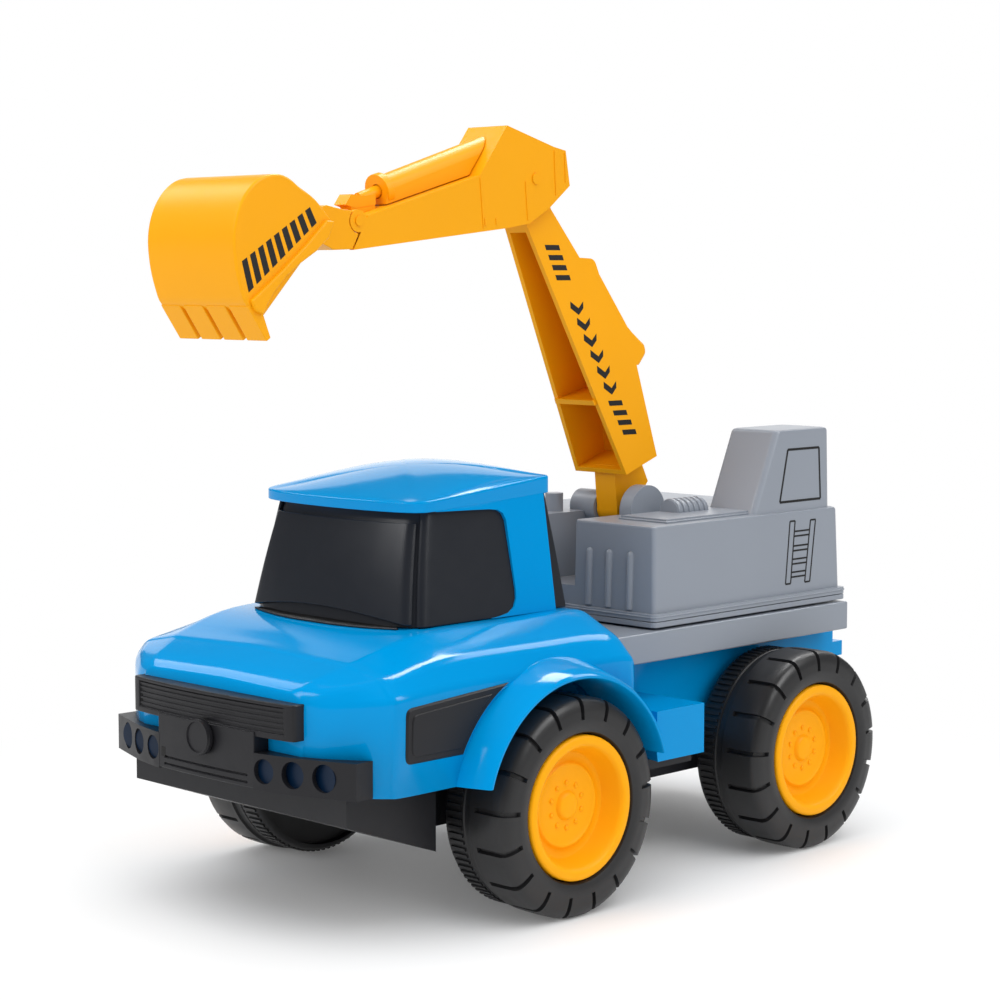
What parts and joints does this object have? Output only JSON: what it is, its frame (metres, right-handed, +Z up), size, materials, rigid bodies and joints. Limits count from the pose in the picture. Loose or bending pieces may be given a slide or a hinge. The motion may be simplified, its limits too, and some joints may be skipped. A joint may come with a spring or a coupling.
{
  "type": "toy digger truck",
  "caption": "Moulded plastic toy truck in blue with a grey deck, a turning digger turret and a yellow boom, stick and bucket.",
  "frame": {"origin": "on the ground, at the middle of the overall length and width", "axes": "+X to the truck's left, -Y forward, +Z up"},
  "size_m": [0.192, 0.3538, 0.3219],
  "materials": {
    "blue_plastic": "glossy blue moulded plastic",
    "window_plastic": "glossy black moulded plastic",
    "black_trim": "satin black moulded plastic",
    "grey_plastic": "satin blue-grey moulded plastic",
    "yellow_plastic": "satin-gloss warm yellow moulded plastic",
    "rim_plastic": "satin yellow moulded plastic",
    "tyre_plastic": "satin black, lugged",
    "steel": "plain drawn steel"
  },
  "bodies": {
    "chassis": {"body_shell": "blue_plastic", "cab_frame": "blue_plastic", "window_insert": "window_plastic", "front_grille": "black_trim", "grille_badge": "black_trim", "side_vent_left": "black_trim", "side_vent_right": "black_trim", "chassis_tray": "black_trim", "tray_screw_1": "steel", "tray_screw_2": "steel", "tray_screw_3": "steel", "tray_screw_4": "steel", "rear_frame": "blue_plastic", "deck": "grey_plastic"},
    "front_wheels": {"front_axle": "steel", "front_left_tyre": "tyre_plastic", "front_left_rim": "rim_plastic", "front_left_back": "tyre_plastic", "front_right_tyre": "tyre_plastic", "front_right_rim": "rim_plastic", "front_right_back": "tyre_plastic"},
    "rear_wheels": {"rear_axle": "steel", "rear_left_tyre": "tyre_plastic", "rear_left_rim": "rim_plastic", "rear_left_back": "tyre_plastic", "rear_right_tyre": "tyre_plastic", "rear_right_rim": "rim_plastic", "rear_right_back": "tyre_plastic"},
    "turret": {"turret_base": "grey_plastic", "turret_housing": "grey_plastic", "turret_retainer": "black_trim", "retainer_screw": "steel", "boom_pin": "steel"},
    "boom_arm": {"boom": "yellow_plastic"},
    "stick_arm": {"stick": "yellow_plastic", "stick_pin": "yellow_plastic", "stick_cylinder": "yellow_plastic", "stick_rod": "yellow_plastic", "bucket_pin": "yellow_plastic"},
    "bucket_body": {"bucket": "yellow_plastic"}
  },
  "joints": [
    {"name": "front_axle_roll", "type": "hinge", "parent": "chassis", "child": "front_wheels", "pos_m": [0, -0.05665, 0.045], "axis": [1, 0, 0], "continuous": true},
    {"name": "rear_axle_roll", "type": "hinge", "parent": "chassis", "child": "rear_wheels", "pos_m": [0, 0.10495, 0.045], "axis": [1, 0, 0], "continuous": true},
    {"name": "turret_swivel", "type": "hinge", "parent": "chassis", "child": "turret", "pos_m": [0, 0.09435, 0.1047], "axis": [0, 0, 1], "continuous": true},
    {"name": "boom_lift", "type": "hinge", "parent": "turret", "child": "boom_arm", "pos_m": [0, 0.06885, 0.151], "axis": [1, 0, 0], "range_deg": [-30, 12]},
    {"name": "stick_swing", "type": "hinge", "parent": "boom_arm", "child": "stick_arm", "pos_m": [0, 0.00305, 0.2998], "axis": [1, 0, 0], "range_deg": [-27, 10]},
    {"name": "bucket_curl", "type": "hinge", "parent": "stick_arm", "child": "bucket_body", "pos_m": [0, -0.10015, 0.28], "axis": [1, 0, 0], "range_deg": [-50, 0]}
  ]
}
